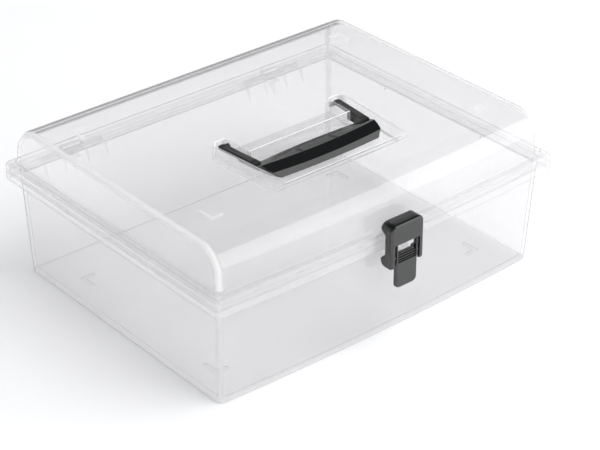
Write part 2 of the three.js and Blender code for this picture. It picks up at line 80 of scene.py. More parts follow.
# ---------------------------------------------------------------- dimensions, in millimetres
WALL = 2.4
GAP = 0.3
BOW = 3.7
PARTING = 78.05
RIM_BOTTOM = 71.9
RIM_TOP = 85.6
SKIRT = 2.2
LUG_HEIGHT = 0.8
LID_TOP = LUG_TOP - LUG_HEIGHT

RIM = (RIM_HALF, 115.3, 119.0, 3.2)          # half width, front, back, corner radius
TUB_RIM = (140.3, 109.5, 111.4, 6.0)
TUB_BASE = (137.6, 105.0, 108.8, 5.0)
LID_WALL = (140.7, 110.2, 114.0, 4.4)
LID_DRAFT = 1.0
FRONT_RADIUS = 19.0
BACK_RADIUS = 23.0
END_RADIUS = 4.4

RECESS_DEPTH = 10.0
RECESS_REAR = 2.8
RECESS_FRONT = -69.5
RECESS_RUN = 11.5
RECESS_HALF_REAR = 56.5
RECESS_HALF_FRONT = 51.5
RECESS_RADIUS = 5.0
ISLAND_HALF_REAR = 45.8
ISLAND_HALF_FRONT = 44.3
ISLAND_FRONT = -21.5

HINGE_X = 90.0
HINGE_HALF = 26.5
KNUCKLE = 2.5
KNUCKLE_SPLIT = 8.1
GUSSET_FOOT = 63.5
WEB_HALF = 0.8
MARK_Y = 76
MARK_DEPTH = 1.1
BORE = 1.2
CATCH_HALF = 7.5

# ---------------------------------------------------------------- mesh helpers
def mesh_object(name, verts, faces):
    data = bpy.data.meshes.new(name)
    data.from_pydata([(x * MM, y * MM, z * MM) for x, y, z in verts], [], faces)
    obj = bpy.data.objects.new(name, data)
    bpy.context.scene.collection.objects.link(obj)
    bm = bmesh.new()
    bm.from_mesh(data)
    bmesh.ops.remove_doubles(bm, verts=bm.verts, dist=1e-7)
    bmesh.ops.recalc_face_normals(bm, faces=bm.faces)
    bm.to_mesh(data)
    bm.free()
    return obj

def loft(name, rings, closed=False):
    """Rings of equal length joined by quads: capped at both ends, or joined round into a torus."""
    count = len(rings[0])
    verts = [p for ring in rings for p in ring]
    faces = []
    pairs = list(zip(range(len(rings)), range(1, len(rings))))
    if closed:
        pairs.append((len(rings) - 1, 0))
    for a, b in pairs:
        for i in range(count):
            j = (i + 1) % count
            faces.append((a * count + i, a * count + j, b * count + j, b * count + i))
    if not closed:
        faces.append(tuple(range(count)))
        faces.append(tuple(range((len(rings) - 1) * count, len(rings) * count)))
    return mesh_object(name, verts, faces)

def beam(name, points, x0, x1):
    return loft(name, [[(x, y, z) for y, z in points] for x in (x0, x1)])

def column(name, points, z0, z1):
    return loft(name, [[(x, y, z) for x, y in points] for z in (z0, z1)])

def box(name, x0, x1, y0, y1, z0, z1):
    return column(name, [(x0, y0), (x1, y0), (x1, y1), (x0, y1)], z0, z1)

def rod(name, axis, radius, x0, x1, steps=40, edge=0.0):
    rings = []
    ends = [(x0, radius - edge), (x0 + edge, radius), (x1 - edge, radius), (x1, radius - edge)]
    for x, r in (ends if edge else [ends[1], ends[2]]):
        rings.append([(x, axis.y + r * math.cos(2 * math.pi * i / steps),
                       axis.z + r * math.sin(2 * math.pi * i / steps)) for i in range(steps)])
    return loft(name, rings)

def arc(cx, cy, radius, start, end, steps):
    return [(cx + radius * math.cos(math.radians(start + (end - start) * i / steps)),
             cy + radius * math.sin(math.radians(start + (end - start) * i / steps)))
            for i in range(steps + 1)]

def apply_modifiers(obj):
    deps = bpy.context.evaluated_depsgraph_get()
    data = bpy.data.meshes.new_from_object(obj.evaluated_get(deps))
    obj.modifiers.clear()
    old = obj.data
    obj.data = data
    bpy.data.meshes.remove(old)
    return obj

def combine(obj, other, operation):
    modifier = obj.modifiers.new("combine", "BOOLEAN")
    modifier.operation = operation
    modifier.solver = "MANIFOLD"
    modifier.object = other
    apply_modifiers(obj)
    bpy.data.objects.remove(other)
    return obj

def add(obj, *others):
    for other in others:
        combine(obj, other, "UNION")
    return obj

def cut(obj, *others):
    for other in others:
        combine(obj, other, "DIFFERENCE")
    return obj

def keep(obj, other):
    return combine(obj, other, "INTERSECT")

def soften(obj, width, segments=2, angle=40):
    """Rounds the sharp edges of a small moulded piece."""
    modifier = obj.modifiers.new("edges", "BEVEL")
    modifier.width = width * MM
    modifier.segments = segments
    modifier.limit_method = "ANGLE"
    modifier.angle_limit = math.radians(angle)
    modifier.use_clamp_overlap = True
    modifier.harden_normals = False
    return apply_modifiers(obj)

def shade(obj, angle=35):
    obj.data.shade_smooth()
    obj.data.set_sharp_from_angle(angle=math.radians(angle))
    modifier = obj.modifiers.new("normals", "WEIGHTED_NORMAL")
    modifier.mode = "FACE_AREA"
    modifier.weight = 50
    modifier.keep_sharp = True
    return obj

# ---------------------------------------------------------------- plan outlines
CORNER_STEPS = 8
FRONT_STEPS = 48
SIDE_STEPS = 6

def inset_size(size, inset, least=0.6):
    half, front, back, radius = size
    return (half - inset, front - inset, back - inset, max(radius - inset, least))

def between(a, b, t):
    return tuple(p + (q - p) * t for p, q in zip(a, b))

def plan(size, z, bow=BOW):
    """The box's plan: a rectangle with round corners and a front that bulges."""
    half, front, back, radius = size
    points = []
    points += arc(half - radius, back - radius, radius, 0, 90, CORNER_STEPS)
    for i in range(1, FRONT_STEPS):
        points.append((half - radius - 2 * (half - radius) * i / FRONT_STEPS, back))
    points += arc(-half + radius, back - radius, radius, 90, 180, CORNER_STEPS)
    for i in range(1, SIDE_STEPS):
        points.append((-half, back - radius - (back + front - 2 * radius) * i / SIDE_STEPS))
    points += arc(-half + radius, -front + radius, radius, 180, 270, CORNER_STEPS)
    for i in range(1, FRONT_STEPS):
        points.append((-half + radius + 2 * (half - radius) * i / FRONT_STEPS, -front))
    points += arc(half - radius, -front + radius, radius, 270, 360, CORNER_STEPS)
    for i in range(1, SIDE_STEPS):
        points.append((half, -front + radius + (back + front - 2 * radius) * i / SIDE_STEPS))
    ring = []
    for x, y in points:
        if y < 0:
            y -= bow * (1 - (x / half) ** 2) * min(1, -y / front)
        ring.append((x, y, z))
    return ring

def rounded(cx, cz, radius, start, end, steps=4):
    return arc(cx, cz, radius, start, end, steps)

# ---------------------------------------------------------------- tub
def tub_size(z, inset=0.0):
    return inset_size(between(TUB_BASE, TUB_RIM, z / RIM_BOTTOM), inset)

def tub_body():
    edge = 1.4
    flange_under = PARTING - GAP / 2 - SKIRT
    flange_top = PARTING - GAP / 2
    rings = []
    for inset, z in rounded(edge, edge, edge, 270, 180):
        rings.append(plan(tub_size(z, inset), z))
    for z in (12, 30, 48, 62, 70, flange_under - 1.0):
        rings.append(plan(tub_size(z), z))
    wall = tub_size(flange_under)
    for out, z in rounded(1.0, flange_under - 1.0, 1.0, 180, 90):
        rings.append(plan(inset_size(wall, -out), z))
    inner = inset_size(RIM, SKIRT)
    rings.append(plan(inner, flange_under))
    rings.append(plan(inner, RIM_BOTTOM + 0.3))
    rings.append(plan(inset_size(RIM, SKIRT - 0.3), RIM_BOTTOM))
    for inset, z in rounded(1.4, RIM_BOTTOM + 1.4, 1.4, 270, 180, 5):
        rings.append(plan(inset_size(RIM, inset), z))
    for inset, z in rounded(0.8, flange_top - 0.8, 0.8, 180, 90):
        rings.append(plan(inset_size(RIM, inset), z))
    lip = tub_size(flange_top)
    rings.append(plan(inset_size(lip, -0.8), flange_top))
    rings.append(plan(inset_size(lip, -0.2), flange_top + 0.25))
    rings.append(plan(lip, flange_top + 0.8))
    for inset, z in rounded(0.5, LIP_TOP - 0.5, 0.5, 180, 90, 3):
        rings.append(plan(inset_size(tub_size(LIP_TOP), inset), z))
    for inset, z in rounded(WALL - 0.5, LIP_TOP - 0.5, 0.5, 90, 0, 3):
        rings.append(plan(inset_size(tub_size(LIP_TOP), inset), z))
    floor = WALL + 0.2
    for z in (70, 50, 30, 12):
        rings.append(plan(tub_size(z, WALL), z))
    for back, z in rounded(WALL + 2, floor + 2, 2, 180, 270, 5):
        rings.append(plan(tub_size(z, back), z))
    return loft("tub_shell", rings)

def tub_webs(body):
    reach = 1.4
    top = PARTING - 1.6
    low = RIM_BOTTOM - 0.6
    for side in (-1, 1):
        for y in (-50, 50):
            wall, skirt = TUB_RIM[0] - reach, RIM[0] - 1.2
            outline = [(wall, top), (wall, low), (TUB_RIM[0] + 0.8, low),
                       (skirt, RIM_BOTTOM + 2.4), (skirt, top)]
            rings = [[(side * x, y + t, z) for x, z in outline] for t in (-WEB_HALF, WEB_HALF)]
            add(body, loft("web", rings))
        for rel in (-HINGE_HALF + 1, -9.6, 9.6, HINGE_HALF - 1):
            wall, skirt = TUB_RIM[2] - reach, RIM[2] - 1.2
            outline = [(wall, top), (wall, GUSSET_FOOT), (TUB_RIM[2] - 0.1, GUSSET_FOOT),
                       (skirt, RIM_BOTTOM + 0.6), (skirt, top)]
            x = side * HINGE_X + rel
            add(body, beam("web", outline, x - WEB_HALF, x + WEB_HALF))

def stacking_mark(sx, sy, z0, z1, grow=0.0):
    x0, length, width = 118.0, 10.0, 2.0
    ox, oy = x0 + grow, MARK_Y + grow
    ix, iy = x0 - width - grow, MARK_Y - width - grow
    ex, ey = x0 - length - grow, MARK_Y - length - 3 - grow
    points = [(ox, oy), (ex, oy), (ex, iy), (ix, iy), (ix, ey), (ox, ey)]
    return column("mark", [(sx * x, sy * y) for x, y in points], z0, z1)

def knuckle(x0, x1, radius=KNUCKLE):
    return rod("knuckle", HINGE, radius, x0, x1, 32, 0.25 if radius > BORE else 0)

def make_tub():
    body = tub_body()
    tub_webs(body)
    inner = KNUCKLE_SPLIT + GAP / 2
    for side in (-1, 1):
        x = side * HINGE_X
        cut(body, box("notch", x - inner, x + inner, HINGE.y - KNUCKLE - 0.5, 130, RIM_BOTTOM - 1, 90))
        for s in (-1, 1):
            a, b = sorted((x + s * inner, x + s * HINGE_HALF))
            add(body, knuckle(a, b))
            low = HINGE.z - KNUCKLE + 0.3
            add(body, box("shank", a + 0.3, b - 0.3, RIM[2] - 2, HINGE.y, low, PARTING - 0.6))
        wall = TUB_RIM[2] - 1.5
        stop = [(wall, 61), (122.4, 69.3), (122.4, 70.9), (RIM[2], 72), (wall, 72)]
        add(body, beam("stop", stop, x - 3, x + 3))
        cut(body, knuckle(x - HINGE_HALF + 1.2, x + HINGE_HALF + 1, BORE))
    wall = -(TUB_RIM[1] + BOW)
    catch = [(wall + 1.4, 70.4), (wall + 1.4, 61.5), (wall, 61.5),
             (wall - 6.6, 65.2), (wall - 7.4, 65.2), (wall - 7.4, 70.4)]
    add(body, beam("catch", catch, -CATCH_HALF, CATCH_HALF))
    for sx in (-1, 1):
        for sy in (-1, 1):
            cut(body, stacking_mark(sx, sy, -1, MARK_DEPTH, GAP))
    return body

# ---------------------------------------------------------------- lid
def dome(name, inset, foot):
    """The lid's dome: its side profile run along x, drawn in at both ends, with a bowed front."""
    half, front, back = LID_WALL[:3]
    half -= inset
    edge = END_RADIUS - inset
    steps = 5
    sections = []
    for i in range(steps + 1):
        t = math.radians(90 - 90 * i / steps)
        sections.append((-half + edge - edge * math.sin(t), edge * (1 - math.cos(t))))
    count = 44
    for i in range(1, count):
        sections.append((-half + edge + 2 * (half - edge) * i / count, 0.0))
    for i in range(steps + 1):
        t = math.radians(90 * i / steps)
        sections.append((half - edge + edge * math.sin(t), edge * (1 - math.cos(t))))
    rings = []
    for x, extra in sections:
        deep = inset + extra
        top = LID_TOP - deep
        fr, br = FRONT_RADIUS - deep, BACK_RADIUS - deep
        f, b = -(front - deep), back - deep
        profile = [(b, foot)]
        profile += arc(b - LID_DRAFT - br, top - br, br, 0, 90, 20)
        profile += arc(f + LID_DRAFT + fr, top - fr, fr, 90, 180, 20)
        profile.append((f, foot))
        ring = []
        for y, z in profile:
            up = max(z - foot, 0) / (LID_TOP - foot)
            px = x * (1 - LID_DRAFT / half * up)
            if y < 0:
                y -= BOW * (1 - (px / half) ** 2) * min(1, -y / LID_WALL[1])
            ring.append((px, y, z))
        rings.append(ring)
    return loft(name, rings)

def lid_flange():
    top, low = RIM_TOP, PARTING + GAP / 2
    under = RIM_TOP - WALL
    section = [(inset, z) for inset, z in rounded(0.8, low + 0.8, 0.8, 270, 180)]
    section += rounded(3.0, top - 3.0, 3.0, 180, 90, 8)
    rings = [plan(inset_size(RIM, i), z) for i, z in section]
    rings.append(plan(inset_size(LID_WALL, WALL / 2), top))
    rings.append(plan(inset_size(LID_WALL, WALL / 2), under))
    rings.append(plan(inset_size(RIM, SKIRT), under))
    rings.append(plan(inset_size(RIM, SKIRT), low + 0.3))
    rings.append(plan(inset_size(RIM, SKIRT - 0.3), low))
    return loft("flange", rings, closed=True)

def wall_fillet():
    radius = 1.6
    z = RIM_TOP
    section = [(-out, h) for out, h in rounded(radius, z + radius, radius, 270, 180, 6)]
    rings = [plan(inset_size(LID_WALL, i), h) for i, h in section]
    rings.append(plan(inset_size(LID_WALL, WALL / 2), z + radius))
    rings.append(plan(inset_size(LID_WALL, WALL / 2), z - 0.4))
    rings.append(plan(inset_size(LID_WALL, -radius), z - 0.4))
    return loft("fillet", rings, closed=True)

def offset(points, distance):
    """Moves a closed anticlockwise outline outwards by a distance."""
    result = []
    count = len(points)
    for i, p in enumerate(points):
        a, b = Vector(points[i - 1]), Vector(points[(i + 1) % count])
        p = Vector(p)
        d0, d1 = (p - a).normalized(), (b - p).normalized()
        n0, n1 = Vector((d0.y, -d0.x)), Vector((d1.y, -d1.x))
        n = (n0 + n1)
        n = n / max(n.dot(n0), 0.3) if n.length > 1e-6 else n0
        result.append((p.x + n.x * distance, p.y + n.y * distance))
    return result

def area(points):
    return sum(a[0] * b[1] - b[0] * a[1] for a, b in zip(points, points[1:] + points[:1])) / 2

def recess_outline():
    lean = (RECESS_HALF_REAR - RECESS_HALF_FRONT) / (RECESS_REAR - RECESS_FRONT)
    r = RECESS_RADIUS
    rear = RECESS_REAR
    front = RECESS_FRONT - 6
    front_half = RECESS_HALF_FRONT - lean * 6
    small = 0.9
    right = [(0, ISLAND_FRONT), (ISLAND_HALF_FRONT / 2, ISLAND_FRONT)]
    right += arc(ISLAND_HALF_FRONT - small, ISLAND_FRONT + small, small, 270, 360, 4)
    right += [(ISLAND_HALF_REAR - small * 0.2, rear - small)]
    right += arc(ISLAND_HALF_REAR + small, rear - small, small, 180, 90, 4)
    right += arc(RECESS_HALF_REAR - lean - r, rear - r, r, 90, 0, 10)
    right += [(front_half, front)]
    left = [(-x, y) for x, y in reversed(right[1:])]
    points = right + left
    return points if area(points) > 0 else list(reversed(points))

def slope_cutter(drop):
    slope = RECESS_DEPTH / RECESS_RUN
    foot = RECESS_FRONT + RECESS_RUN
    floor = LID_TOP - RECESS_DEPTH
    reach = 30
    points = [(foot + reach, floor - drop - slope * reach), (foot - reach, floor - drop + slope * reach),
              (foot - reach, floor - drop - slope * reach)]
    return beam("slope", points, -80, 80)

def recess_solid(name, grow, low, high, fillet, flare):
    outline = recess_outline()
    rings = []
    for inward, z in rounded(fillet, low + fillet, fillet, 270, 180, 4):
        rings.append([(x, y, z) for x, y in offset(outline, grow - inward)])
    if flare:
        for out, z in rounded(flare, high - flare, flare, 180, 90, 4):
            rings.append([(x, y, z) for x, y in offset(outline, grow + out)])
        rings.append([(x, y, high + 4) for x, y in offset(outline, grow + flare)])
    else:
        rings.append([(x, y, high) for x, y in offset(outline, grow)])
    return loft(name, rings)

def lid_hinge(x):
    half = KNUCKLE_SPLIT - GAP / 2
    body = knuckle(x - half, x + half)
    add(body, box("shank", x - half, x + half, HINGE.y - 2.3, HINGE.y + KNUCKLE, HINGE.z, 79.6))
    pad = [(RIM[2] - 2, PARTING + GAP / 2), (122.4, PARTING + GAP / 2), (122.4, 82.4), (RIM[2] - 0.4, 84.6),
           (RIM[2] - 2, 84.6)]
    return add(body, beam("pad", pad, x - half, x + half))

def latch_lug(side):
    a, b = sorted((side * 11.15, side * 6.75))
    body = rod("lug", LATCH_AXIS, 2.0, a, b, 32)
    y, z, front = LATCH_AXIS.y, LATCH_AXIS.z, -RIM[2]
    foot = [(y - 1.7, z), (y - 1.7, z - 4), (front + 0.2, z - 7), (front + 1.7, z - 7),
            (front + 1.7, RIM_TOP - 0.5), (y + 1.7, RIM_TOP - 0.3), (y + 1.7, z)]
    return add(body, beam("foot", foot, a, b))

def make_lid():
    floor = LID_TOP - RECESS_DEPTH
    shell = dome("lid_shell", 0, RIM_TOP - WALL)
    add(shell, lid_flange(), wall_fillet())
    cut(shell, dome("hollow", WALL, RIM_TOP - WALL - 2))
    tray = recess_solid("tray", WALL, floor - WALL, LID_TOP - WALL / 2, 2.0, 0)
    lean = math.atan2(RECESS_DEPTH, RECESS_RUN)
    cut(tray, slope_cutter(WALL / math.cos(lean)))
    add(shell, tray)
    cavity = recess_solid("cavity", 0, floor, LID_TOP, 0.9, 0.9)
    cut(cavity, slope_cutter(0))
    cut(shell, cavity)
    for side in (-1, 1):
        x = side * HINGE_X
        add(shell, lid_hinge(x), latch_lug(side))
        cut(shell, knuckle(x - 10, x + 10, BORE))
        a, b = sorted((side * (ISLAND_HALF_REAR - 4), side * (ISLAND_HALF_REAR + 1)))
        cut(shell, rod("hole", HANDLE_AXIS, 1.9, a, b, 24))
    cut(shell, rod("hole", LATCH_AXIS, BORE, -20, 20, 24))
    for sx in (-1, 1):
        for sy in (-1, 1):
            add(shell, stacking_mark(sx, sy, LID_TOP - 0.5, LUG_TOP))
    return shell

# ---------------------------------------------------------------- handle
HANDLE_LOW, HANDLE_HIGH = span("handle")
ARM_TOP = 112.8
ARM_THICKNESS = 2.2
ARM_WIDTH = 6.0
ARM_HALF_FRONT = 50.4
ARM_FRONT = -34.0
WEB_REAR = -16.5
GRIP_REAR = -31.4
GRIP_FRONT = -52.0
STUB = 1.6
RIB_PITCH = 2.0
RIB_HEIGHT = 0.45

def arm_half(y):
    lean = (HANDLE_HIGH.x - ARM_HALF_FRONT) / (HANDLE_HIGH.y - ARM_FRONT)
    return HANDLE_HIGH.x - lean * (HANDLE_HIGH.y - y)

def handle_arm(side):
    """A flat strap with a rounded rear end, fine ribs across its top and a deeper web towards the grip."""
    rear, radius = HANDLE_HIGH.y, 1.9
    outer, inner = arm_half(rear), arm_half(rear) - ARM_WIDTH
    outline = arc(outer - radius, rear - radius, radius, 0, 90, 6)
    outline += arc(inner + radius, rear - radius, radius, 90, 180, 6)
    outline += [(arm_half(ARM_FRONT) - ARM_WIDTH, ARM_FRONT), (arm_half(ARM_FRONT), ARM_FRONT)]
    edge = 0.35
    rings = [[(side * x, y, z) for x, y in offset(outline, -inward)]
             for inward, z in ((edge, ARM_TOP - ARM_THICKNESS), (0, ARM_TOP - ARM_THICKNESS + edge),
                               (0, ARM_TOP - edge), (edge * 0.3, ARM_TOP - edge * 0.3), (edge, ARM_TOP))]
    arm = loft("arm", rings)
    y = rear - 5.0
    while y > GRIP_REAR + 3:
        a, b = sorted((side * (arm_half(y) - 0.7), side * (arm_half(y) - ARM_WIDTH + 0.7)))
        ridge = [(y + 0.5, ARM_TOP - 0.2), (y + 0.2, ARM_TOP + RIB_HEIGHT), (y - 0.2, ARM_TOP + RIB_HEIGHT),
                 (y - 0.5, ARM_TOP - 0.2)]
        add(arm, beam("rib", ridge, a, b))
        y -= RIB_PITCH
    a, b = sorted((side * (ISLAND_HALF_REAR - 1.6), side * (HANDLE_HIGH.x - ARM_WIDTH / 2)))
    add(arm, rod("stub", HANDLE_AXIS, STUB, a, b, 28, 0.3))
    low, top = HANDLE_LOW.z + 0.3, ARM_TOP - ARM_THICKNESS / 2
    rings = []
    for y in (WEB_REAR, ARM_FRONT):
        half = arm_half(y)
        rings.append([(side * half, y, top), (side * (half - ARM_WIDTH + 2.2), y, low),
                      (side * (half - ARM_WIDTH), y, low), (side * (half - ARM_WIDTH), y, top)])
    return add(arm, loft("web", rings))

def grip_section(x):
    """Three facets on top, a bowed rear edge, and a tucked-in underside."""
    half = 52.0
    bulge = 1 - (x / half) ** 2
    ridge = GRIP_REAR - 8.2
    low = HANDLE_LOW.z
    section = [(GRIP_REAR, low + 0.8), (GRIP_REAR, 110.6), (ridge, 113.8), (GRIP_FRONT + 3.2, 111.6),
               (GRIP_FRONT, 107.7), (GRIP_FRONT + 1.5, low + 1), (GRIP_FRONT + 7, low),
               (GRIP_REAR - 1.5, low)]
    points = []
    for y, z in section:
        share = min(max((y - ridge) / (GRIP_REAR - ridge), 0), 1)
        y += (-2 + 4.4 * share) * bulge
        if z > 111:
            z -= (1 - share) * bulge
        points.append((x, y, z))
    return points

def handle_grip():
    steps = 26
    grip = loft("grip", [grip_section(-52 + 104 * i / steps) for i in range(steps + 1)])
    wide = ARM_HALF_FRONT
    half_plan = [(wide, GRIP_REAR + 8), (wide, GRIP_REAR - 4), (wide - 0.5, GRIP_REAR - 8),
                 (wide - 1.3, GRIP_REAR - 12), (wide - 2.6, GRIP_REAR - 16), (wide - 4.6, GRIP_FRONT),
                 (wide - 6, GRIP_FRONT - 8)]
    outline = half_plan + [(-x, y) for x, y in reversed(half_plan)]
    rings = []
    for z in (HANDLE_LOW.z - 2, ARM_TOP - 1.2, ARM_TOP + 4):
        tuck = 6 * max(ARM_TOP - 1.2 - z, 0) / (ARM_TOP - HANDLE_LOW.z)
        rings.append([(x - math.copysign(tuck, x), y, z) for x, y in outline])
    return soften(keep(grip, loft("limits", rings)), 0.45, 2, 24)

def make_handle():
    return add(handle_grip(), handle_arm(-1), handle_arm(1))

# ---------------------------------------------------------------- latch
FRAME_LOW, FRAME_HIGH = span("latch_frame")
TONGUE_LOW, TONGUE_HIGH = span("latch_tongue")
FRAME_WALL = 2.5
SLOT_HALF = 10.8
SLOT_TOP = 77.35
TONGUE_HALF = 9.2
TONGUE_THICKNESS = 3.0
TONGUE_TOP = 70.0
EAR = 1.3
BARREL = 2.2

def arch(half, top, corner, foot, foot_corner=0.0):
    """The latch's front view: round shoulders above, square or slightly rounded below."""
    points = arc(half - corner, top - corner, corner, 0, 90, 10)
    points += arc(-half + corner, top - corner, corner, 90, 180, 10)
    points += arc(-half + foot_corner, foot + foot_corner, foot_corner, 180, 270, 4)
    points += arc(half - foot_corner, foot + foot_corner, foot_corner, 270, 360, 4)
    return points

def front_loft(name, outlines):
    return loft(name, [[(x, y, z) for x, z in points] for y, points in outlines])

def make_latch_frame():
    front, rear = FRAME_LOW.y, FRAME_HIGH.y
    half, top, foot, corner = FRAME_HIGH.x, FRAME_HIGH.z, FRAME_LOW.z, 4.5
    outlines = []
    for inset, y in rounded(1.8, front + 1.8, 1.8, 270, 180, 7):
        outlines.append((y, arch(half - inset, top - inset, corner - inset * 0.6, foot + inset * 0.6, 1.0)))
    outlines.append((rear, arch(half, top, corner, foot, 1.0)))
    frame = front_loft("latch_frame_shell", outlines)
    wall = half - FRAME_WALL
    hollow = [(y, arch(wall, top - 2, 1.2, foot - 1, 0.3)) for y in (front + FRAME_WALL, rear + 5)]
    cut(frame, front_loft("hollow", hollow))
    slot = [(y, arch(SLOT_HALF, SLOT_TOP, 0.8, foot - 5, 0.3)) for y in (front - 1, rear + 5)]
    cut(frame, front_loft("slot", slot))
    clear = [(-121.5, 84.9), (-119.8, 85.9), (-118.6, 86.4), (-117.9, 87.5), (-117.5, 88),
             (-110, 88), (-110, 66.4), (-117.6, 66.4), (-121.5, 70.2)]
    heel = [(-110, 64.5), (-117.6, 64.5), (-118.6, 62.2), (-121, 60.9),
            (-124, foot - 0.1), (-110, foot - 0.1)]
    cut(frame, beam("clear", clear, -20, 20), beam("heel", heel, -20, 20))
    soften(frame, 0.3, 2, 50)
    for axis in (LATCH_AXIS, TONGUE_AXIS):
        cut(frame, rod("bore", axis, BORE, -half + 0.9, half - 0.9, 24))
    return frame

def tongue_face(inset):
    radius = 3.6 - inset * 0.4
    half, low = TONGUE_HALF - inset, TONGUE_LOW.z + inset
    points = [(half, TONGUE_TOP - 5), (-half, TONGUE_TOP - 5)]
    points += arc(-half + radius, low + radius, radius, 180, 270, 8)
    points += arc(half - radius, low + radius, radius, 270, 360, 8)
    return points

def make_latch_tongue():
    """A panel with bevelled edges, a grip band of fine ribs, and two ears beside the window."""
    front = FRAME_LOW.y + GAP - 0.1
    back = front + TONGUE_THICKNESS
    outlines = [(y, tongue_face(inset)) for inset, y in rounded(1.3, front + 1.3, 1.3, 270, 180, 6)]
    outlines += [(back - 0.4, tongue_face(0)), (back, tongue_face(0.4))]
    tongue = front_loft("latch_tongue_shell", outlines)
    head = [(front + 1.1, TONGUE_TOP), (front + 1.1, TONGUE_TOP - 7), (back, TONGUE_TOP - 7),
            (TONGUE_AXIS.y + BARREL, TONGUE_AXIS.z), (TONGUE_AXIS.y + 1, TONGUE_TOP)]
    add(tongue, beam("head", head, -TONGUE_HALF + 1.2, TONGUE_HALF - 1.2))
    nose = [(back - 0.5, 64), (back - 0.5, 56.5), (-121.2, 60.8), (-120.6, 62.6), (-121.6, 63.4)]
    add(tongue, beam("nose", nose, -CATCH_HALF + 1, CATCH_HALF - 1))
    for side in (-1, 1):
        a, b = sorted((side * TONGUE_HALF, side * (TONGUE_HALF - EAR)))
        add(tongue, soften(box("ear", a, b, front, back, TONGUE_TOP - 6, TONGUE_HIGH.z), 0.3, 2))
    add(tongue, rod("barrel", TONGUE_AXIS, BARREL, -SLOT_HALF + GAP, SLOT_HALF - GAP, 32, 0.3))
    cut(tongue, box("band", -TONGUE_HALF + 1.3, TONGUE_HALF - 1.3, front - 1, front + 1.1, 63.6, 71))
    for z in (64.9, 66.8, 68.7):
        rib = [(front + 1.3, z - 0.5), (front + 0.3, z - 0.2), (front + 0.3, z + 0.2), (front + 1.3, z + 0.5)]
        add(tongue, beam("rib", rib, -TONGUE_HALF + 1.2, TONGUE_HALF - 1.2))
    return cut(tongue, rod("bore", TONGUE_AXIS, BORE, -20, 20, 24))

def make_pin(node):
    """A pin with chamfered ends and a shallow groove near each end."""
    low, high = span(node)
    axis = (low + high) / 2
    pin = rod(node + "_detail", axis, (high.z - low.z) / 2, low.x, high.x, 40, 0.3)
    for x in (low.x + 2, high.x - 2):
        ring = rod("ring", axis, 2, x - 0.3, x + 0.3, 40)
        cut(pin, cut(ring, rod("core", axis, (high.z - low.z) / 2 - 0.12, x - 1, x + 1, 40)))
    return pin

PIECES = (
    (make_tub(), "tub", "tub", "clear_plastic"),
    (make_lid(), "lid", "lid", "clear_plastic"),
    (make_handle(), "handle", "handle", "black_plastic"),
    (make_latch_frame(), "latch_frame", "latch_frame", "black_plastic"),
    (make_latch_tongue(), "latch_tongue", "latch_tongue", "black_plastic"),
    (make_pin("hinge_pin_left"), "tub", "hinge_pin_left", "clear_plastic"),
    (make_pin("hinge_pin_right"), "tub", "hinge_pin_right", "clear_plastic"),
    (make_pin("latch_pin"), "lid", "latch_pin", "black_plastic"),
    (make_pin("tongue_pin"), "latch_frame", "tongue_pin", "black_plastic"),
)
for piece, body, node, slot in PIECES:
    piece.name = node + "_detail"
    shade(piece, {"clear_plastic": 35, "black_plastic": 18}[slot])
    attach(piece, body)
    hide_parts(node)

# ---------------------------------------------------------------- materials
# Strengths of the painted shade at the tub's foot, in the stacking recesses and along the parting line.
FOOT_PAINTED_SHADE = 0.5
MARK_PAINTED_SHADE = 0.45
SEAM_PAINTED_SHADE = 0.7
CLEAR_FACE_ON = (0.938, 0.937, 0.939, 1)
CLEAR_OUTLINE = (0.04, 0.042, 0.045, 1)
CLEAR_SHADOW = (0.935, 0.935, 0.937, 1)
HAZE_COLOUR = (0.85, 0.845, 0.85, 1)
# Colours of the painted highlights and the painted shade on the clear plastic's edges.
PAINTED_EDGE_HIGHLIGHT = (1, 1, 1, 1)
PAINTED_EDGE_SHADE = (0.14, 0.145, 0.15, 1)
BLACK = (0.005, 0.0056, 0.006, 1)
FLOOR = (0.91, 0.91, 0.915, 1)
SKY = (0.985, 0.992, 1, 1)

def new_material(name):
    material = bpy.data.materials.new(name)
    material.use_nodes = True
    tree = material.node_tree
    tree.nodes.clear()
    return material, tree

def link(tree, a, b):
    tree.links.new(a, b)

def calc(tree, operation, a, b=0.0):
    node = tree.nodes.new("ShaderNodeMath")
    node.operation = operation
    for socket, value in zip(node.inputs, (a, b)):
        if isinstance(value, (int, float)):
            socket.default_value = value
        else:
            link(tree, value, socket)
    return node.outputs["Value"]

def corner_share(tree, component):
    """1 where a normal lies halfway between along and across an axis, which is only on rounded edges."""
    square = calc(tree, "MULTIPLY", component, component)
    return calc(tree, "MULTIPLY", calc(tree, "MULTIPLY", square, calc(tree, "SUBTRACT", 1.0, square)), 4.0)

